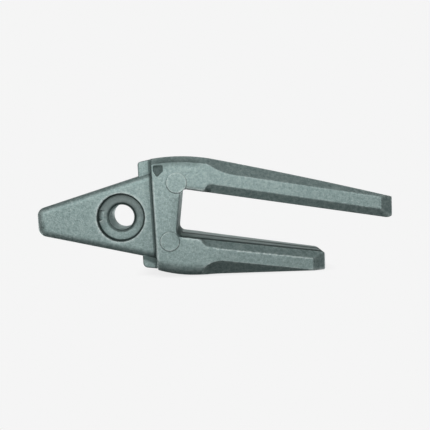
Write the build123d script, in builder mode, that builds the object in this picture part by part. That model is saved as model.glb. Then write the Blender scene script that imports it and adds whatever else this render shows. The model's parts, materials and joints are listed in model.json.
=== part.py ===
"""Two-strap weld-on bucket tooth adapter with a side pin, one steel casting.

Millimetres. The origin is the middle of the pin bore and Y runs along it, the retainer's seat
being on the -Y side. X runs back from the nose to the straps, and Z is up: the adapter rests on
the flat outer face of its lower strap. Both halves are alike, so the near half is modelled and
mirrored, and what only the near side has is added last.
"""

import os
from math import cos, radians, sin, tan

from build123d import *

# Pin bore and the retainer's seat round it
pin_diameter = 25.0
pin_clearance = 0.5
bore_lead_in = 3.0
far_lead_in = 1.5
seat_radius = 23.5
seat_depth = 9.8
seat_wall_angle = 10.5
seat_dish_angle = 24.0

# Key notch in the seat's floor, where the retainer is stopped from turning
notch_width = 12.5
notch_inner_width = 7.0
notch_depth = 2.0
notch_height = 2.6

# Nose that the tooth slides onto, a wedge on its own tilted axis
nose_tilt = 1.95
nose_half_angle = 14.6
nose_half_height = 36.4
nose_reach = 87.8
nose_half_width = 35.0
nose_side_taper = 3.0
nose_tip_radius = 9.0
nose_edge_radius = 7.5
nose_root_depth = 10.0

# Collar that the tooth's rim butts against: side shoulders, and an ear above and below the nose
shoulder_set = 36.1
collar_top = 58.9
collar_bottom = 56.1
top_ear_reach = 14.9
bottom_ear_reach = 16.0
ear_drop = 2.6
ear_half_width = 33.0
ear_top_radius = 3.5
ear_bottom_radius = 5.0
ear_edge_radius = 1.5

# Body between the collar and the straps
body_half_width = 56.0
crown_x = 67.6
crown_z = 61.9
flat_start_x = 78.0
top_edge_bevel = 6.3
bottom_edge_radius = 12.0
shoulder_root_radius = 4.0
body_edge_radius = 1.5

# Slot for the bucket lip, its roof and floor closing slightly towards the mouth
slot_root_x = 61.1
slot_floor_z = -19.8
slot_gap = 49.2
slot_roof_fall = 9.85
slot_floor_fall = 8.4
slot_root_lean = 6.8
slot_top_radius = 6.0
slot_bottom_radius = 6.5
slot_edge_radius = 1.5
slot_overrun = 10.0

# Straps, parallel to the body's sides as far as taper_start
taper_start = 82.7
blend_radius = 140.0
upper_end_x = 287.6
upper_end_height = 22.4
upper_root_height = 35.2
upper_crown = 1.1
upper_taper = 6.0
lower_end_x = 215.3
lower_height = 35.8
lower_taper = 9.3
end_corner_length = 12.3
end_corner_width = 8.5
end_bulge = 3.5
upper_end_top_radius = 5.0
upper_end_bottom_radius = 9.0
lower_end_top_radius = 8.5
lower_end_bottom_radius = 3.0
end_edge_radius = 2.0

# Weld bevels: each strap keeps a plain side band between an inner and an outer bevel
upper_band_inset = 9.1
upper_band_height = 12.9
upper_band_fall = 10.15
lower_band_inset = 8.2
lower_band_height = 11.8
lower_band_fall = 8.4
inner_bevel_width = 7.5
outer_bevel_angle = 45.0
bevel_edge_radius = 2.0
upper_inner_runout = (93.0, 49.0, 5.0)
lower_inner_runout = (88.2, 48.0, 5.0)
upper_outer_runout = (109.0, 31.0, 58.0)
lower_outer_runout = (92.5, 44.0, 28.0)

# Round casting marks and a plain shield-shaped patch on the near side, both bare
mark_height = 0.7
mark_places = (((59.9, 34.8), 10.4), ((51.5, -24.8), 9.8))
patch_depth = 0.6
patch_corner_radius = 1.5
patch_outline = ((36.9, 52.9), (46.5, 53.0), (46.6, 47.2), (40.3, 40.9), (36.6, 47.5))

# What follows from the sizes above
bore_radius = pin_diameter / 2 + pin_clearance
nose_along = Vector(cos(radians(nose_tilt)), 0, sin(radians(nose_tilt)))
nose_up = Vector(-sin(radians(nose_tilt)), 0, cos(radians(nose_tilt)))
nose_side = Plane(origin=(0, 0, 0), x_dir=nose_along, z_dir=(0, -1, 0))
nose_plan = Plane(origin=(0, 0, 0), x_dir=nose_along, z_dir=nose_up)
nose_root = shoulder_set + nose_root_depth
block_end = taper_start + blend_radius * sin(radians(upper_taper))
slot_mouth_x = upper_end_x + slot_overrun
tall = 2 * (collar_top + collar_bottom)


def nose_half_height_at(u):
    """Half height of the nose at u along its axis"""
    return nose_half_height + u * tan(radians(nose_half_angle))


def roof_z(x):
    """Height of the slot's roof, the upper strap's contact face"""
    return slot_floor_z + slot_gap - (x - slot_root_x) * tan(radians(slot_roof_fall))


def floor_z(x):
    """Height of the slot's floor, the lower strap's contact face"""
    return slot_floor_z - (x - slot_root_x) * tan(radians(slot_floor_fall))


def nose_point(u, w):
    """Side view place of a point given along and across the nose axis"""
    place = nose_along * u + nose_up * w
    return (place.X, place.Z)


def blend_end(taper):
    """Where the side's blend arc runs out into a strap's straight taper, in plan"""
    turn = radians(taper)
    return (
        taper_start + blend_radius * sin(turn),
        body_half_width - blend_radius * (1 - cos(turn)),
    )


def half_width_at(taper, x):
    """Half width of a strap at x, on its straight taper"""
    start_x, start_y = blend_end(taper)
    return start_y - (x - start_x) * tan(radians(taper))


def band_edge(root_z, fall):
    """Height of a weld bevel's edge on a strap's side, as a function of x"""
    return lambda x: root_z - (x - slot_root_x) * tan(radians(fall))


base_z = floor_z(block_end) - lower_height
strap_top_z = roof_z(block_end) + upper_root_height
upper_end_z = roof_z(upper_end_x) + upper_end_height
upper_mid = (
    (block_end + upper_end_x) / 2,
    (strap_top_z + upper_end_z) / 2 + upper_crown,
)
collar_top_point = nose_point(shoulder_set, collar_top)
collar_bottom_point = nose_point(shoulder_set, -collar_bottom)
upper_inner_edge = band_edge(roof_z(slot_root_x) + upper_band_inset, upper_band_fall)
upper_outer_edge = band_edge(upper_inner_edge(slot_root_x) + upper_band_height, upper_band_fall)
lower_inner_edge = band_edge(floor_z(slot_root_x) - lower_band_inset, lower_band_fall)
lower_outer_edge = band_edge(lower_inner_edge(slot_root_x) - lower_band_height, lower_band_fall)
inner_slant = upper_band_inset / inner_bevel_width
outer_slant = tan(radians(outer_bevel_angle))


def on_collar(edge):
    """Whether an edge lies in the plane of the collar, which the shoulders are in"""
    return abs(edge.center().dot(nose_along) - shoulder_set) < 0.1


def slot_outline():
    """Slot in side view, rounded where it closes"""
    lean = tan(radians(slot_root_lean))
    middle_z = slot_floor_z + slot_gap / 2
    top_x = slot_root_x + lean * (roof_z(slot_root_x) - middle_z)
    bottom_x = slot_root_x - lean * (middle_z - slot_floor_z)
    with BuildSketch() as outline:
        with BuildLine():
            Polyline(
                (bottom_x, floor_z(bottom_x)),
                (slot_mouth_x, floor_z(slot_mouth_x)),
                (slot_mouth_x, roof_z(slot_mouth_x)),
                (top_x, roof_z(top_x)),
                close=True,
            )
        make_face()
        fillet(outline.vertices().sort_by(Axis.X)[0], slot_bottom_radius)
        fillet(outline.vertices().sort_by(Axis.Y)[-1], slot_top_radius)
    return outline.sketch


def plan_outline(taper, end_x):
    """Near half of the body and one strap in plan, cut across at the strap's end"""
    corner_x = end_x - end_bulge - end_corner_length
    corner_y = half_width_at(taper, corner_x)
    with BuildSketch() as outline:
        with BuildLine():
            side = Line((0, -body_half_width), (taper_start, -body_half_width))
            blend = JernArc(side @ 1, side % 1, blend_radius, taper)
            corner = Polyline(
                blend @ 1,
                (corner_x, -corner_y),
                (end_x - end_bulge, -corner_y + end_corner_width),
            )
            TangentArc((end_x, 0), corner @ 1, tangent=(0, -1))
            Polyline((end_x, 0), (0, 0), side @ 0)
        make_face()
    return outline.sketch


def strap_side(taper):
    """Plane on the straight part of a strap's near side, X running back along it"""
    turn = radians(taper)
    start_x, start_y = blend_end(taper)
    return Plane(
        origin=(start_x, -start_y, 0),
        x_dir=(cos(turn), sin(turn), 0),
        z_dir=(sin(turn), -cos(turn), 0),
    )


# Nose
with BuildPart() as nose:
    with BuildSketch(nose_side):
        with BuildLine():
            Polyline(
                (-nose_reach, nose_half_height_at(-nose_reach)),
                (nose_root, nose_half_height_at(nose_root)),
                (nose_root, -nose_half_height_at(nose_root)),
                (-nose_reach, -nose_half_height_at(-nose_reach)),
                close=True,
            )
        make_face()
        fillet(vertices().group_by(Axis.X)[0], nose_tip_radius)
    extrude(amount=body_half_width)
    with BuildSketch(nose_plan):
        slope = tan(radians(nose_side_taper))
        with BuildLine():
            Polyline(
                (-nose_reach, 0),
                (nose_root, 0),
                (nose_root, -nose_half_width - nose_root * slope),
                (-nose_reach, -nose_half_width + nose_reach * slope),
                close=True,
            )
        make_face()
    extrude(amount=tall, both=True, mode=Mode.INTERSECT)
    long_edges = faces().sort_by(Axis.Y)[0].edges().sort_by(Axis.X)[:-1]
    fillet(long_edges, nose_edge_radius)

# Ears above and below the nose
with BuildPart() as ears:
    with BuildSketch(nose_side):
        with BuildLine():
            Polyline(
                (shoulder_set - top_ear_reach, collar_top - ear_drop),
                (shoulder_set, collar_top),
                (shoulder_set, -collar_bottom),
                (shoulder_set - bottom_ear_reach, -collar_bottom + ear_drop),
                close=True,
            )
        make_face()
        fillet(vertices().group_by(Axis.Y)[-2], ear_top_radius)
        fillet(vertices().group_by(Axis.Y)[1], ear_bottom_radius)
    extrude(amount=ear_half_width)
    ear_edges = faces().sort_by(Axis.Y)[0].edges()
    fillet(ear_edges.filter_by(lambda edge: not on_collar(edge)), ear_edge_radius)

# Body block with the slot's closed end
with BuildPart() as body:
    with BuildSketch(Plane.XZ):
        with BuildLine():
            ThreePointArc(collar_top_point, (crown_x, crown_z), (block_end, strap_top_z))
            Polyline((block_end, strap_top_z), (block_end, base_z), (flat_start_x, base_z))
            TangentArc((flat_start_x, base_z), collar_bottom_point, tangent=(-1, 0))
            Line(collar_bottom_point, collar_top_point)
        make_face()
    extrude(amount=body_half_width)
    with BuildSketch(Plane.XY):
        add(plan_outline(upper_taper, upper_end_x))
    extrude(amount=tall, both=True, mode=Mode.INTERSECT)
    side_edges = faces().sort_by(Axis.Y)[0].edges()
    chamfer(side_edges.sort_by(Axis.Z)[-1], top_edge_bevel)
    side_edges = edges().filter_by(lambda edge: edge.center().Y < -body_half_width * 0.95)
    fillet(side_edges.filter_by(lambda edge: edge.center().Z < base_z * 0.9), bottom_edge_radius)
    bevel_y = top_edge_bevel - body_half_width
    rounded = edges().filter_by(on_collar)
    rounded = rounded.filter_by(lambda edge: edge.center().Y < bottom_edge_radius - body_half_width)
    rounded += edges().filter_by(
        lambda edge: abs(edge.center().Y - bevel_y) < 0.3 and edge.center().Z > collar_top
    )
    rounded += faces().sort_by(Axis.Y)[0].edges().filter_by(
        lambda edge: edge.center().Z > collar_top * 0.9 and edge.length > top_edge_bevel
    )
    fillet(rounded, body_edge_radius)
    with BuildSketch(Plane.XZ):
        add(slot_outline())
    extrude(amount=body_half_width, mode=Mode.SUBTRACT)
    slot_edges = edges().filter_by(
        lambda edge: edge.center().Y < -body_half_width * 0.95
        and slot_root_x * 0.9 < edge.center().X < block_end - 1
        and floor_z(block_end) - 1 < edge.center().Z < roof_z(slot_root_x) + 1
    )
    fillet(slot_edges, slot_edge_radius)

# Upper strap
with BuildPart() as upper_strap:
    with BuildSketch(Plane.XZ):
        with BuildLine():
            top = ThreePointArc((block_end, strap_top_z), upper_mid, (upper_end_x, upper_end_z))
            Polyline(
                top @ 1,
                (upper_end_x, roof_z(upper_end_x)),
                (block_end, roof_z(block_end)),
                top @ 0,
            )
        make_face()
        fillet(vertices().group_by(Axis.X)[-1].sort_by(Axis.Y)[-1], upper_end_top_radius)
        fillet(vertices().group_by(Axis.X)[-1].sort_by(Axis.Y)[0], upper_end_bottom_radius)
    extrude(amount=body_half_width)
    with BuildSketch(Plane.XY):
        add(plan_outline(upper_taper, upper_end_x))
    extrude(amount=tall, both=True, mode=Mode.INTERSECT)
    upright = edges().filter_by(Axis.Z).filter_by(lambda edge: edge.center().Y < 0)
    corner_x = upper_end_x - 2 * end_corner_length
    fillet(upright.filter_by(lambda edge: edge.center().X > corner_x), end_edge_radius)

# Lower strap
with BuildPart() as lower_strap:
    with BuildSketch(Plane.XZ):
        with BuildLine():
            Polyline(
                (block_end, base_z),
                (lower_end_x, base_z),
                (lower_end_x, floor_z(lower_end_x)),
                (block_end, floor_z(block_end)),
                close=True,
            )
        make_face()
        fillet(vertices().group_by(Axis.X)[-1].sort_by(Axis.Y)[-1], lower_end_top_radius)
        fillet(vertices().group_by(Axis.X)[-1].sort_by(Axis.Y)[0], lower_end_bottom_radius)
    extrude(amount=body_half_width)
    with BuildSketch(Plane.XY):
        add(plan_outline(lower_taper, lower_end_x))
    extrude(amount=tall, both=True, mode=Mode.INTERSECT)


def weld_bevel(taper, edge_z, rise, runout, slant):
    """Cutter for a weld bevel, which takes all beyond edge_z on a strap's side and on inward

    rise is 1 where that lies above the edge and -1 where it lies below. runout is where the bevel
    starts, how steeply and how rounded. slant is how far it climbs for each millimetre inward.
    """
    plane = strap_side(taper)
    start_x, angle, radius = runout
    reach = end_corner_length * 2

    def on_side(x, z):
        return ((x - blend_end(taper)[0]) / cos(radians(taper)), z)

    with BuildPart() as cutter:
        with BuildSketch(plane):
            with BuildLine():
                Polyline(
                    on_side(start_x, edge_z(start_x)),
                    on_side(slot_mouth_x, edge_z(slot_mouth_x)),
                    on_side(slot_mouth_x, edge_z(slot_mouth_x) + rise * reach),
                    on_side(
                        start_x - reach / tan(radians(angle)),
                        edge_z(start_x) + rise * reach,
                    ),
                    close=True,
                )
            make_face()
            corner = vertices().sort_by_distance(on_side(start_x, edge_z(start_x)))[0]
            fillet(corner, radius)
        inward = plane.z_dir * -1 + Vector(0, 0, rise * slant)
        extrude(amount=reach, dir=inward.normalized(), both=True)
    return cutter.part


# Casting: near half joined, weld bevels cut along the straps, then both halves
with BuildPart() as adapter:
    add(body.part)
    add(nose.part)
    add(ears.part)
    add(upper_strap.part)
    add(lower_strap.part)
    for taper, edge_z, rise, runout, slant in (
        (upper_taper, upper_inner_edge, -1, upper_inner_runout, inner_slant),
        (upper_taper, upper_outer_edge, 1, upper_outer_runout, outer_slant),
        (lower_taper, lower_inner_edge, 1, lower_inner_runout, inner_slant),
        (lower_taper, lower_outer_edge, -1, lower_outer_runout, outer_slant),
    ):
        add(weld_bevel(taper, edge_z, rise, runout, slant), mode=Mode.SUBTRACT)

    # Roots of the shoulders
    shoulder_root = edges().filter_by(on_collar).filter_by(
        lambda edge: abs(edge.center().Z) < nose_half_height_at(shoulder_set)
        and nose_half_width - nose_edge_radius < -edge.center().Y < body_half_width * 0.8
    )
    fillet(shoulder_root, shoulder_root_radius)

    # Edges of the weld bevels, then the lower strap's first corner edge
    upper_x = (block_end + upper_end_x) / 2
    upper_y = -half_width_at(upper_taper, upper_x)
    bevel_edges = [
        edges().sort_by_distance((upper_x, upper_y, edge_z(upper_x)))[0]
        for edge_z in (upper_inner_edge, upper_outer_edge)
    ]
    fillet(bevel_edges, bevel_edge_radius)
    lower_x = (block_end + lower_end_x) / 2
    lower_y = -half_width_at(lower_taper, lower_x)
    fillet(edges().sort_by_distance((lower_x, lower_y, lower_inner_edge(lower_x)))[0], bevel_edge_radius)
    corner_x = lower_end_x - end_bulge - end_corner_length
    corner_y = -half_width_at(lower_taper, corner_x)
    corner_z = (lower_inner_edge(corner_x) + lower_outer_edge(corner_x)) / 2
    fillet(edges().sort_by_distance((corner_x, corner_y, corner_z))[0], end_edge_radius)
    mirror(about=Plane.XZ)

    # Retainer seat and pin bore from the near side, whose floor dishes towards the bore
    seat_floor_y = nose_half_width - seat_depth
    lead_in_radius = bore_radius + bore_lead_in
    dish = (seat_radius - lead_in_radius) * tan(radians(seat_dish_angle))
    wall = tan(radians(seat_wall_angle))
    with BuildSketch(Plane.XY):
        with BuildLine():
            Polyline(
                (0, -body_half_width),
                (seat_radius + (body_half_width - seat_floor_y) * wall, -body_half_width),
                (seat_radius, -seat_floor_y),
                (lead_in_radius, -seat_floor_y + dish),
                (bore_radius, -seat_floor_y + dish + bore_lead_in),
                (bore_radius, nose_half_width - far_lead_in),
                (bore_radius + far_lead_in * 2, nose_half_width + far_lead_in),
                (0, nose_half_width + far_lead_in),
                close=True,
            )
        make_face()
    revolve(axis=Axis.Y, mode=Mode.SUBTRACT)

    # Key notch in the seat's floor
    with BuildSketch(Plane.XZ.offset(seat_floor_y)):
        with BuildLine():
            Polyline(
                (-seat_radius, notch_height + notch_width / 2),
                (-lead_in_radius, notch_height + notch_inner_width / 2),
                (-lead_in_radius, notch_height - notch_inner_width / 2),
                (-seat_radius, notch_height - notch_width / 2),
                close=True,
            )
        make_face()
    extrude(amount=-notch_depth, mode=Mode.SUBTRACT)

    # Casting marks and patch on the near side
    with BuildSketch(Plane.XZ.offset(body_half_width - slot_edge_radius)):
        for place, radius in mark_places:
            with Locations(place):
                Circle(radius)
        add(slot_outline(), mode=Mode.SUBTRACT)
    extrude(amount=slot_edge_radius + mark_height)
    with BuildSketch(Plane.XZ.offset(body_half_width)):
        with BuildLine():
            Polyline(*patch_outline, close=True)
        make_face()
        fillet(vertices(), patch_corner_radius)
    extrude(amount=-patch_depth, mode=Mode.SUBTRACT)

os.makedirs("parts", exist_ok=True)
adapter.part.label = "adapter"
export_step(adapter.part, "parts/adapter.step")
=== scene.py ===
"""Looks of the bucket tooth adapter: a grey-green painted casting in plain soft studio light.

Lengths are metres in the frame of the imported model: the origin is the middle of the pin bore, Y
runs along it, X runs back to the straps and Z is up. The camera looks from -Y at the near side,
which has the retainer's seat. A span is a pair of values, the lower one first.
"""

import json
from functools import reduce
from math import cos, radians, sin

import bpy
from mathutils import Euler, Matrix, Vector


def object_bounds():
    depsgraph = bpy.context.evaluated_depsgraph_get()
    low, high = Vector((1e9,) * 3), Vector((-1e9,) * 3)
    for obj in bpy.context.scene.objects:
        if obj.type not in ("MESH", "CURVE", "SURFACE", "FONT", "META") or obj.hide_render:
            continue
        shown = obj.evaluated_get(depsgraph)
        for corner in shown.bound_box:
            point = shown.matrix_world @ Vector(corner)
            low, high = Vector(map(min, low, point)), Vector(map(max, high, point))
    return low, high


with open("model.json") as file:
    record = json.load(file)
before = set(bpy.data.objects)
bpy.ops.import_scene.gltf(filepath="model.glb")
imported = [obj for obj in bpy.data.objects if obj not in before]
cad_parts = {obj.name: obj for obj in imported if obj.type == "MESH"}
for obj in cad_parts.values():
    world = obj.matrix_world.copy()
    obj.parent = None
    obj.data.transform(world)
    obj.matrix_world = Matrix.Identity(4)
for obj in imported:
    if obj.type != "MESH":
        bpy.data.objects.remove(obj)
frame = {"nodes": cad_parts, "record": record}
cad_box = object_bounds()
casting = frame["nodes"]["adapter"]
mounts = {mount["name"]: mount for mount in frame["record"]["mounts"]}


def face_plane(name):
    """Normal of a flat mount, and the plane's distance from the origin along it"""
    normal = mounts[name]["axis"]
    return normal, Vector(normal).dot(Vector(mounts[name]["pos_m"]))


# What the frame gives: the bore's radius, the slot's two faces, the near side and the nose's tip. The
# near side is worked out from the far one, its mirror image, because the round marks stand proud of it
BORE = mounts["pin_bore"]["dims"]["r_mm"] / 1000
FLOOR_NORMAL, FLOOR_DEPTH = face_plane("lip_floor")
ROOF_NORMAL, ROOF_DEPTH = face_plane("lip_roof")
NEAR_SIDE = -cad_box[1].y
NOSE_TIP = cad_box[0].x

# Backdrop: the photograph's plain off-white, as a linear value
BACKDROP = 0.913

# Samples that the ambient occlusion and bevel nodes take, and the roughness of every noise
SAMPLES = 8
NOISE_ROUGHNESS = 0.6

# How near a face a point still counts as lying on it
ON_FACE = 0.0003


def around(middle, reach):
    """The span from reach below middle to reach above it"""
    return (middle - reach, middle + reach)


class Nodes:
    """Node tree of a material or a world. Its calls add nodes, and most return what the last one gives"""

    def __init__(self, owner):
        owner.use_nodes = True
        self.tree = owner.node_tree
        self.tree.nodes.clear()

    def add(self, kind, inputs=None, **settings):
        """Add one node, with its inputs linked or set, and return the node itself"""
        node = self.tree.nodes.new("ShaderNode" + kind)
        for name, value in settings.items():
            setattr(node, name, value)
        for name, value in (inputs or {}).items():
            if isinstance(value, bpy.types.NodeSocket):
                self.tree.links.new(value, node.inputs[name])
            else:
                node.inputs[name].default_value = value
        return node

    def math(self, operation, *values):
        return self.add("Math", dict(enumerate(values)), operation=operation).outputs[0]

    def times(self, *values):
        return reduce(lambda first, second: self.math("MULTIPLY", first, second), values)

    def most(self, *values):
        return reduce(lambda first, second: self.math("MAXIMUM", first, second), values)

    def plus(self, first, second):
        return self.math("ADD", first, second)

    def minus(self, first, second):
        return self.math("SUBTRACT", first, second)

    def spread(self, value, span, to_low, to_high):
        """The value mapped from its span onto to_low to to_high, and held at their ends"""
        low, high = span
        inputs = {"Value": value, "From Min": low, "From Max": high, "To Min": to_low, "To Max": to_high}
        return self.add("MapRange", inputs, clamp=True).outputs["Result"]

    def rise(self, value, span, top=1.0):
        """0 below the span, growing to the top above it"""
        return self.spread(value, span, 0.0, top)

    def fall(self, value, span, top=1.0):
        """The top below the span, shrinking to 0 above it"""
        return self.spread(value, span, top, 0.0)

    def within(self, value, span):
        """1 where value lies in the span, else 0"""
        low, high = span
        return self.math("COMPARE", value, (low + high) / 2, (high - low) / 2)

    def vector(self, operation, first, second, output="Value"):
        return self.add("VectorMath", {0: first, 1: second}, operation=operation).outputs[output]

    def noise(self, place, per_metre, detail):
        inputs = {"Vector": place, "Scale": per_metre, "Detail": detail, "Roughness": NOISE_ROUGHNESS}
        return self.add("TexNoise", inputs).outputs["Fac"]

    def openness(self, distance, samples=SAMPLES, inside=False):
        """Ambient occlusion: 1 on open faces and less in creases, or less at edges when looking inside"""
        settings = {"samples": samples, "inside": inside}
        return self.add("AmbientOcclusion", {"Distance": distance}, **settings).outputs["AO"]

    def mix(self, factor, first, second):
        inputs = {0: factor, 6: first, 7: second}
        return self.add("Mix", inputs, data_type="RGBA").outputs[2]

    def finish(self, kind, shader):
        """Add the tree's output, of kind Material or World, and link the shader to it"""
        self.add("Output" + kind, {"Surface": shader.outputs[0]})


# Noises, as patterns a metre and levels of detail: clouds over a hand's width, mottling, sand's grain
CLOUDS = (26.0, 3.0)
MOTTLE = (320.0, 3.0)
GRAIN = (760.0, 2.0)

# Distance from the mid-plane over which the flat sides of the body begin
SIDES = (0.0485, 0.0500)


class Paint(Nodes):
    """Casting's paint: the places and noises that its layers share, and the colour so far"""

    def __init__(self, material):
        super().__init__(material)
        self.place = self.add("TexCoord").outputs["Object"]
        self.x, self.y, self.z = self.add("SeparateXYZ", {"Vector": self.place}).outputs
        self.from_middle = self.math("ABSOLUTE", self.y)
        self.on_side = self.rise(self.from_middle, SIDES)
        self.side_view = self.vector("MULTIPLY", self.place, (1.0, 0.0, 1.0), "Vector")
        self.from_bore = self.side_distance((0.0, 0.0, 0.0))
        self.mottle = self.noise(self.place, *MOTTLE)
        self.grain = self.noise(self.place, *GRAIN)
        self.colour = None

    def side_distance(self, point):
        """Distance from a point of the side view"""
        return self.vector("DISTANCE", self.side_view, point)

    def along(self, axis):
        """Place measured along an axis through the origin"""
        return self.vector("DOT_PRODUCT", self.place, axis)

    def box(self, x_span, z_span):
        """1 inside an upright box of the side view, else 0"""
        return self.times(self.within(self.x, x_span), self.within(self.z, z_span))

    def coat(self, mask, colour):
        """Lay a colour over the paint so far, as thickly as the mask says"""
        self.colour = self.mix(mask, self.colour, colour)


# Base coat: two greens for the clouds, pale and dark specks, and the painted shade below
CLOUD_GREENS = ((0.245, 0.325, 0.316, 1), (0.272, 0.352, 0.342, 1))
CLOUD_EDGES = (0.35, 0.65)
SPECK_PALE = (0.40, 0.49, 0.475, 1)
SPECK_PALE_EDGES = (0.50, 0.66)
SPECK_DARK = (0.155, 0.22, 0.212, 1)
SPECK_DARK_EDGES = (0.36, 0.50)
SPECK_STRENGTH = 0.75
SPECK_MOTTLE, SPECK_GRAIN = 0.6, 0.4
UNDERSIDE_SHADE = (0.02, 0.03, 0.028, 1)
UNDERSIDE_SHADE_HEIGHTS = (-0.05, 0.05)
UNDERSIDE_SHADE_STRENGTH = 0.22


def base_coat(paint):
    """Grey-green, cloudy, speckled by the sand's grain, and darkened towards the underside by painted
    shade
    """
    clouds = paint.rise(paint.noise(paint.place, *CLOUDS), CLOUD_EDGES)
    paint.colour = paint.mix(clouds, *CLOUD_GREENS)
    speckle = paint.plus(paint.times(paint.mottle, SPECK_MOTTLE), paint.times(paint.grain, SPECK_GRAIN))
    paint.coat(paint.rise(speckle, SPECK_PALE_EDGES, SPECK_STRENGTH), SPECK_PALE)
    paint.coat(paint.fall(speckle, SPECK_DARK_EDGES, SPECK_STRENGTH), SPECK_DARK)
    # Painted shade: the colour grows darker towards the underside
    paint.coat(paint.fall(paint.z, UNDERSIDE_SHADE_HEIGHTS, UNDERSIDE_SHADE_STRENGTH), UNDERSIDE_SHADE)


# Patch: its recess on the near side
PATCH_SINK = 0.0006
PATCH_X, PATCH_Z, PATCH_REACH = 0.0417, 0.0469, 0.0075
PATCH_DARK = (0.04, 0.062, 0.058, 1)
PATCH_STRENGTH = 0.60


def dark_patch(paint):
    """Dark, dull paint in the patch's recess"""
    floor = paint.within(paint.y, around(NEAR_SIDE + PATCH_SINK, ON_FACE))
    patch = paint.times(floor, paint.box(around(PATCH_X, PATCH_REACH), around(PATCH_Z, PATCH_REACH)))
    paint.coat(paint.times(patch, PATCH_STRENGTH), PATCH_DARK)
    return patch


# Retainer's seat: depths where its painted shade ends, its wall, the bore's lead-in and the dished floor
SEAT_DEPTHS = (-0.0190, -0.0175)
SEAT_WALL = 0.0246
SEAT_WALL_LEAN = 0.0011
LEAD_IN = (BORE + 0.0004, BORE + 0.0052)
LEAD_IN_FADE = (BORE + 0.0008, BORE + 0.0042)
LEAD_IN_OFFSET = 0.05
SEAT_SHADE = (0.020, 0.034, 0.032, 1)
WALL_SHADE, LEAD_IN_SHADE = 0.85, 0.9
# The dished floor's upper part gets painted light
DISH_RADII = (SEAT_WALL - 0.0092, SEAT_WALL - 0.0008)
DISH_DEPTHS = (-0.027, -0.019)
DISH_HEIGHTS = (-0.006, 0.020)
DISH_PAINTED_LIGHT = (0.62, 0.72, 0.70, 1)
DISH_STRENGTH = 0.45


def retainer_seat(paint):
    """Painted shade on the seat's wall and the bore's lead-in, and painted light on the upper floor
    between
    """
    wall = paint.times(paint.within(paint.from_bore, around(SEAT_WALL, SEAT_WALL_LEAN)), WALL_SHADE)
    offset = paint.times(paint.plus(paint.x, paint.z), LEAD_IN_OFFSET)
    lead_in = paint.fall(paint.minus(paint.from_bore, offset), LEAD_IN_FADE, LEAD_IN_SHADE)
    lead_in = paint.times(lead_in, paint.within(paint.from_bore, LEAD_IN))
    # Painted shade on the seat's wall and the lead-in ring
    seat_shade = paint.times(paint.most(wall, lead_in), paint.fall(paint.y, SEAT_DEPTHS))
    paint.coat(seat_shade, SEAT_SHADE)
    # Painted light, paler towards the top of the dished floor
    dish = paint.times(paint.within(paint.from_bore, DISH_RADII), paint.within(paint.y, DISH_DEPTHS))
    paint.coat(paint.times(dish, paint.rise(paint.z, DISH_HEIGHTS, DISH_STRENGTH)), DISH_PAINTED_LIGHT)


# Nose's tip: where its paler paint fades out, and a smear that reaches further in Y and Z than in X
TIP_FADE = (NOSE_TIP + 0.001, NOSE_TIP + 0.008)
TIP_PALE = (0.50, 0.59, 0.575, 1)
TIP_STRENGTH = 0.45
SMEAR_MIDDLE = (-0.0820, -0.0310, -0.0068)
SMEAR_SQUEEZE = (1.0, 0.3, 0.5)
SMEAR_FADE = (0.0014, 0.0034)
SMEAR_MOTTLE = (0.40, 0.60)
SMEAR_THIN, SMEAR_THICK = 0.4, 0.9
SMEAR = (0.060, 0.090, 0.086, 1)


def nose_tip(paint):
    """Paler tip with a dark smear on its lower half"""
    paint.coat(paint.fall(paint.x, TIP_FADE, TIP_STRENGTH), TIP_PALE)
    offset = paint.vector("SUBTRACT", paint.place, SMEAR_MIDDLE, "Vector")
    squeezed = paint.vector("MULTIPLY", offset, SMEAR_SQUEEZE, "Vector")
    from_smear = paint.vector("DISTANCE", squeezed, (0.0, 0.0, 0.0))
    blotches = paint.spread(paint.mottle, SMEAR_MOTTLE, SMEAR_THIN, SMEAR_THICK)
    paint.coat(paint.times(paint.fall(from_smear, SMEAR_FADE), blotches), SMEAR)


# Slot's floor: its length, the mould's parting line, and the near weld bevel's edge in plan
SLOT_LENGTH = (0.060, 0.220)
ON_FLOOR = 0.0006
PARTING_LINE = 0.004
PARTING_FADE = (0.0070, 0.0125)
BEVEL_NORMAL = (-0.1616, 0.9869, 0.0)
BEVEL_EDGE = -0.0631
BEVEL_FADE = (BEVEL_EDGE + 0.007, BEVEL_EDGE + 0.013)
# Painted light for the floor's strips, and painted shade for its dark lines
STRIP_PAINTED_LIGHT = (0.58, 0.67, 0.65, 1)
STRIP_STRENGTH = 0.45
SHADE = (0.045, 0.068, 0.064, 1)
LINE_STRENGTH = 0.8


def slot_floor(paint):
    """Painted shade in dark lines along the parting line and beside the near bevel, and painted light in
    the pale strips between
    """
    depth = paint.within(paint.along(FLOOR_NORMAL), around(FLOOR_DEPTH, ON_FLOOR))
    on_floor = paint.times(depth, paint.within(paint.x, SLOT_LENGTH))
    parting = paint.fall(paint.math("ABSOLUTE", paint.minus(paint.y, PARTING_LINE)), PARTING_FADE)
    beside = paint.fall(paint.along(BEVEL_NORMAL), BEVEL_FADE)
    lines = paint.most(parting, beside)
    strips = paint.times(on_floor, paint.minus(1.0, lines))
    # Painted light on the strips
    paint.coat(paint.times(strips, STRIP_STRENGTH), STRIP_PAINTED_LIGHT)
    # Painted shade on the dark lines
    paint.coat(paint.times(on_floor, lines, LINE_STRENGTH), SHADE)


# Shoulder's root, along the nose's axis and out from the mid-plane, and the bottom ear's shaded face
NOSE_TILT = radians(1.95)
NOSE_AXIS = (cos(NOSE_TILT), 0.0, sin(NOSE_TILT))
ROOT_ALONG = (0.0320, 0.0362)
ROOT_ACROSS = (0.032, 0.044)
ROOT_STRENGTH = 0.6
EAR_SLOPE = 0.4
EAR_FADE = (-0.0368, -0.0345)
EAR_ACROSS = (0.0313, 0.0337)
EAR_X, EAR_Z = (0.017, 0.039), (-0.057, -0.041)
EAR_STRENGTH = 0.75
CORNER_SHADE = (0.040, 0.062, 0.058, 1)


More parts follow.
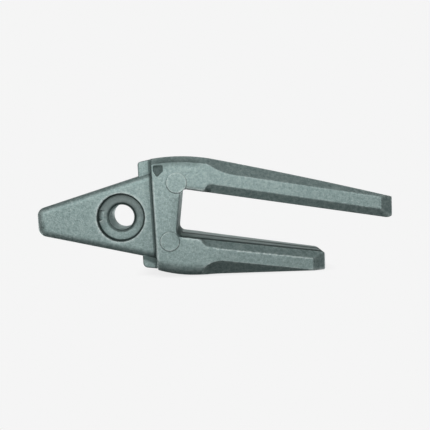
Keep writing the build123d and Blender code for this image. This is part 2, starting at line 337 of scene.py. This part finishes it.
def shoulder_and_ear(paint):
    """Shade in the shoulder's root and on the bottom ear, just under the nose"""
    root = paint.within(paint.along(NOSE_AXIS), ROOT_ALONG)
    root = paint.times(root, paint.within(paint.from_middle, ROOT_ACROSS), ROOT_STRENGTH)
    from_nose = paint.plus(paint.z, paint.times(paint.x, EAR_SLOPE))
    ear = paint.rise(from_nose, EAR_FADE, EAR_STRENGTH)
    ear = paint.times(ear, paint.within(paint.from_middle, EAR_ACROSS), paint.box(EAR_X, EAR_Z))
    paint.coat(paint.most(root, ear), CORNER_SHADE)


# Body beside the slot's root, where the shade grows and then ends
BESIDE_ROOT_RISE = (0.0500, 0.0610)
BESIDE_ROOT_END = (0.0605, 0.0625)
BESIDE_ROOT_Z = (-0.024, 0.020)
BESIDE_ROOT_STRENGTH = 0.3
BESIDE_ROOT_SHADE = (0.06, 0.09, 0.085, 1)


def beside_slot_root(paint):
    """Light shade that grows towards the slot's root"""
    shade = paint.rise(paint.x, BESIDE_ROOT_RISE, BESIDE_ROOT_STRENGTH)
    shade = paint.times(shade, paint.within(paint.z, BESIDE_ROOT_Z), paint.fall(paint.x, BESIDE_ROOT_END))
    paint.coat(shade, BESIDE_ROOT_SHADE)


# Crown, a circle in side view, and how far below it the shade of its bevel comes and goes
CROWN_MIDDLE = (0.0606, 0.0, -0.1207)
CROWN_RADIUS = 0.1827
CROWN_RISE = (0.0010, 0.0065)
CROWN_FALL = (0.0075, 0.0115)
CROWN_STRENGTH = 0.45
CROWN_START, CROWN_END = (0.034, 0.040), (0.080, 0.092)

# Slot's roof: how far above its face the shade on the side reaches, and over which length
ROOF_REACH = (-0.0004, 0.0048)
ROOF_FADE = (0.0012, 0.0048)
ROOF_STRENGTH = 0.92
ROOF_START, ROOF_LENGTH = (0.0665, 0.0700), (0.065, 0.095)


def crown_and_roof(paint):
    """Soft shade on the side, under the crown's bevel and over the front of the slot's roof"""
    below_crown = paint.minus(CROWN_RADIUS, paint.side_distance(CROWN_MIDDLE))
    crown = paint.times(
        paint.rise(below_crown, CROWN_RISE),
        paint.fall(below_crown, CROWN_FALL, CROWN_STRENGTH),
        paint.rise(paint.x, CROWN_START),
        paint.fall(paint.x, CROWN_END),
    )
    above_roof = paint.minus(ROOF_DEPTH, paint.along(ROOF_NORMAL))
    roof = paint.times(
        paint.fall(above_roof, ROOF_FADE, ROOF_STRENGTH),
        paint.within(above_roof, ROOF_REACH),
        paint.rise(paint.x, ROOF_START),
        paint.within(paint.x, ROOF_LENGTH),
    )
    paint.coat(paint.times(paint.most(crown, roof), paint.on_side), SHADE)
    return below_crown


# Creases, which get painted shade: how far away a face still shades another, and the upper round mark,
# whose top is faint
CREASE_REACH = 0.006
CREASE_OPENNESS = (0.5, 0.95)
CREASE_STRENGTH = 0.85
CREASE_SHADE = (0.030, 0.048, 0.045, 1)
MARK_MIDDLE = (0.0599, 0.0, 0.0348)
MARK_RADIUS = 0.0104
MARK_EDGE = 0.0016
MARK_HEIGHTS = (0.030, 0.036)
MARK_FAINTNESS = 0.85

# Bore's wall, paler than the rest with painted light
BORE_ENDS = (-0.034, 0.034)
BORE_PAINTED_LIGHT = (0.55, 0.64, 0.63, 1)
BORE_LIGHT_STRENGTH = 0.8


def creases_and_bore(paint):
    """Painted shade in every crease but the bore, whose wall gets painted light"""
    wall = paint.within(paint.from_bore, around(BORE, ON_FACE))
    bore = paint.times(wall, paint.within(paint.y, BORE_ENDS))
    crease = paint.fall(paint.openness(CREASE_REACH), CREASE_OPENNESS, CREASE_STRENGTH)
    faint = paint.within(paint.side_distance(MARK_MIDDLE), around(MARK_RADIUS, MARK_EDGE))
    faint = paint.times(faint, paint.rise(paint.z, MARK_HEIGHTS, MARK_FAINTNESS), paint.on_side)
    crease = paint.times(paint.minus(crease, bore), paint.minus(1.0, faint))
    # Painted shade in the creases
    paint.coat(paint.most(crease, 0.0), CREASE_SHADE)
    # Painted light on the bore's wall
    paint.coat(paint.times(bore, BORE_LIGHT_STRENGTH), BORE_PAINTED_LIGHT)


# Painted highlight on the edges, found by looking a little way into the metal: an edge has less of it
# behind
HIGHLIGHT_REACH = 0.004
HIGHLIGHT_OPENNESS = (0.66, 0.93)
HIGHLIGHT_STRENGTH = 0.8
HIGHLIGHT_MOTTLE = (0.35, 0.60)
HIGHLIGHT_THIN, HIGHLIGHT_THICK = 0.4, 1.0
EDGE_HIGHLIGHT = (0.56, 0.64, 0.625, 1)

# Edges that are spared the painted highlight: at the patch, the ears, the slot's root and the crown
PATCH_RIM = PATCH_REACH + 0.0015
SPARED_EARS_X, SPARED_EARS_Z = (0.012, 0.036), (0.038, 0.066)
SPARED_ROOT_X, SPARED_ROOT_Z = (0.052, 0.064), (-0.027, 0.023)
SPARED_CROWN_X, SPARED_CROWN_BELOW = (0.034, 0.086), (0.002, 0.010)

# Lower strap's inner bevel edge, which runs below the slot's floor and along it, and gets a painted
# highlight
EDGE_DROP = 0.0081
EDGE_REACH = 0.0009
EDGE_LENGTH = (0.095, 0.205)
EDGE_ACROSS = (0.026, 0.028)
EDGE_MOTTLE = (0.40, 0.60)
EDGE_THIN, EDGE_THICK = 0.1, 0.55


def edge_highlights(paint, below_crown):
    """Painted highlight on the edges, broken up by the mottling"""
    height = paint.math("ABSOLUTE", paint.z)
    spared = paint.most(
        paint.box(around(PATCH_X, PATCH_RIM), around(PATCH_Z, PATCH_RIM)),
        paint.box(SPARED_ROOT_X, SPARED_ROOT_Z),
        paint.times(paint.within(paint.x, SPARED_EARS_X), paint.within(height, SPARED_EARS_Z)),
        paint.times(paint.within(paint.x, SPARED_CROWN_X), paint.within(below_crown, SPARED_CROWN_BELOW)),
    )
    edge_highlight = paint.times(
        paint.fall(paint.openness(HIGHLIGHT_REACH, inside=True), HIGHLIGHT_OPENNESS, HIGHLIGHT_STRENGTH),
        paint.spread(paint.mottle, HIGHLIGHT_MOTTLE, HIGHLIGHT_THIN, HIGHLIGHT_THICK),
        paint.minus(1.0, spared),
    )
    bevel_highlight = paint.times(
        paint.within(paint.along(FLOOR_NORMAL), around(FLOOR_DEPTH - EDGE_DROP, EDGE_REACH)),
        paint.within(paint.x, EDGE_LENGTH),
        paint.spread(paint.mottle, EDGE_MOTTLE, EDGE_THIN, EDGE_THICK),
        paint.rise(paint.from_middle, EDGE_ACROSS),
    )
    # Painted highlight on the edges and along the lower strap's inner bevel edge
    paint.coat(paint.most(edge_highlight, bevel_highlight), EDGE_HIGHLIGHT)


# Surface: how metallic and how rough the paint is, the grain's bumps and the softening of sharp edges
METALLIC = 0.65
ROUGH_MOTTLE = (0.3, 0.7)
ROUGH_LEAST, ROUGH_MOST, ROUGH_PATCH = 0.50, 0.60, 0.8
GRAIN_SHARE = 0.4
GRAIN_HEIGHT = 0.0006
GRAIN_STRENGTH = 0.5
EDGE_RADIUS = 0.0012


def paint_material():
    material = bpy.data.materials.new("cast_paint")
    paint = Paint(material)
    base_coat(paint)
    patch = dark_patch(paint)
    retainer_seat(paint)
    nose_tip(paint)
    slot_floor(paint)
    shoulder_and_ear(paint)
    beside_slot_root(paint)
    below_crown = crown_and_roof(paint)
    creases_and_bore(paint)
    edge_highlights(paint, below_crown)

    rough = paint.spread(paint.mottle, ROUGH_MOTTLE, ROUGH_LEAST, ROUGH_MOST)
    grain = {
        "Strength": GRAIN_STRENGTH,
        "Distance": GRAIN_HEIGHT,
        "Height": paint.plus(paint.times(paint.grain, GRAIN_SHARE), paint.mottle),
        "Normal": paint.add("Bevel", {"Radius": EDGE_RADIUS}, samples=SAMPLES).outputs["Normal"],
    }
    surface = {
        "Base Color": paint.colour,
        "Metallic": METALLIC,
        "Roughness": paint.most(rough, paint.times(patch, ROUGH_PATCH)),
        "Normal": paint.add("Bump", grain).outputs["Normal"],
    }
    paint.finish("Material", paint.add("BsdfPrincipled", surface))
    return material


# Camera, at the photograph's viewing angle: its place and turn, degrees about X, Y and Z in that order
CAMERA_PLACE = (0.09375, -1.00406, 0.05336)
CAMERA_TURN = (86.8374, 1.7367, -0.3725)
CAMERA_LENS = 77.994
CAMERA_SENSOR = 36.0
CAMERA_SEES = (0.05, 50.0)


def make_camera():
    data = bpy.data.cameras.new("photo_camera")
    data.sensor_width = CAMERA_SENSOR
    data.lens = CAMERA_LENS
    data.clip_start, data.clip_end = CAMERA_SEES
    camera = bpy.data.objects.new("photo_camera", data)
    turn = Euler([radians(angle) for angle in CAMERA_TURN])
    camera.matrix_world = Matrix.LocRotScale(Vector(CAMERA_PLACE), turn, None)
    bpy.context.scene.collection.objects.link(camera)
    bpy.context.scene.camera = camera


# Floor, pale as in the photograph: its half width, its gap under the casting, and the shade where the
# casting stands on it
FLOOR_REACH = 6.0
FLOOR_GAP = 0.0002
CONTACT_REACH = 0.015
CONTACT_TONE = 0.88 * BACKDROP
CONTACT_SAMPLES = 16


def make_floor():
    level = cad_box[0].z - FLOOR_GAP
    sides = ((-1, -1), (1, -1), (1, 1), (-1, 1))
    mesh = bpy.data.meshes.new("floor")
    mesh.from_pydata([(x * FLOOR_REACH, y * FLOOR_REACH, level) for x, y in sides], [], [(0, 1, 2, 3)])
    floor = bpy.data.objects.new("floor", mesh)
    bpy.context.scene.collection.objects.link(floor)
    material = bpy.data.materials.new("floor_pale")
    nodes = Nodes(material)
    near = nodes.openness(CONTACT_REACH, CONTACT_SAMPLES)
    tone = nodes.spread(near, (0.0, 1.0), CONTACT_TONE, BACKDROP)
    nodes.finish("Material", nodes.add("Emission", {"Color": tone}))
    mesh.materials.append(material)
    floor.visible_diffuse = False
    floor.visible_glossy = False
    floor.visible_shadow = False


# World: a dim room, darker below, and the backdrop where the camera looks past the casting
ROOM_BELOW = (0.04, 0.045, 0.045, 1)
ROOM_ABOVE = (0.07, 0.07, 0.07, 1)


def make_world():
    world = bpy.data.worlds.new("studio")
    bpy.context.scene.world = world
    nodes = Nodes(world)
    upward = nodes.add("SeparateXYZ", {"Vector": nodes.add("TexCoord").outputs["Generated"]}).outputs["Z"]
    room = nodes.add("ValToRGB", {"Fac": nodes.rise(upward, (-1.0, 1.0))})
    for element, colour in zip(room.color_ramp.elements, (ROOM_BELOW, ROOM_ABOVE)):
        element.color = colour
    dim = nodes.add("Background", {"Color": room.outputs["Color"]})
    pale = nodes.add("Background", {"Color": (BACKDROP, BACKDROP, BACKDROP, 1)})
    seen = nodes.add("LightPath").outputs["Is Camera Ray"]
    shaders = {0: seen, 1: dim.outputs[0], 2: pale.outputs[0]}
    nodes.finish("World", nodes.add("MixShader", shaders))


# Soft boxes: name, azimuth and elevation in degrees as seen from the casting, distance, width and
# height, and power in watts. Azimuth counts from the camera's side, round by the nose. The front box
# lights what the photograph shows, the back and top boxes keep those sides from going dark, and the
# bounces stand for the light that a pale floor throws back
LIT_MIDDLE = Vector((0.09, 0.0, 0.0))
LIGHTS = (
    ("front_box", 5.0, 20.0, 2.6, 3.6, 1.9, 76.0),
    ("bounce_front", 0.0, -32.0, 2.6, 2.6, 1.2, 7.0),
    ("back_box", 190.0, 42.0, 2.4, 1.8, 1.2, 12.0),
    ("top_box", 180.0, 84.0, 2.4, 2.0, 1.4, 2.0),
    ("bounce_nose", 138.0, -20.0, 2.4, 1.8, 1.2, 22.0),
    ("bounce_straps", 225.0, -20.0, 2.4, 1.8, 1.2, 22.0),
)


def make_lights():
    for name, azimuth, elevation, distance, width, height, power in LIGHTS:
        data = bpy.data.lights.new(name, "AREA")
        data.shape = "RECTANGLE"
        data.size = width
        data.size_y = height
        data.energy = power
        light = bpy.data.objects.new(name, data)
        turn, rise = radians(azimuth), radians(elevation)
        towards = Vector((-sin(turn) * cos(rise), -cos(turn) * cos(rise), sin(rise)))
        light.location = LIT_MIDDLE + towards * distance
        light.rotation_mode = "QUATERNION"
        light.rotation_quaternion = (-towards).to_track_quat("-Z", "Y")
        light.visible_camera = False
        bpy.context.scene.collection.objects.link(light)


casting.data.materials[0] = paint_material()
make_camera()
make_floor()
make_world()
make_lights()
bpy.context.scene.view_settings.view_transform = "Standard"
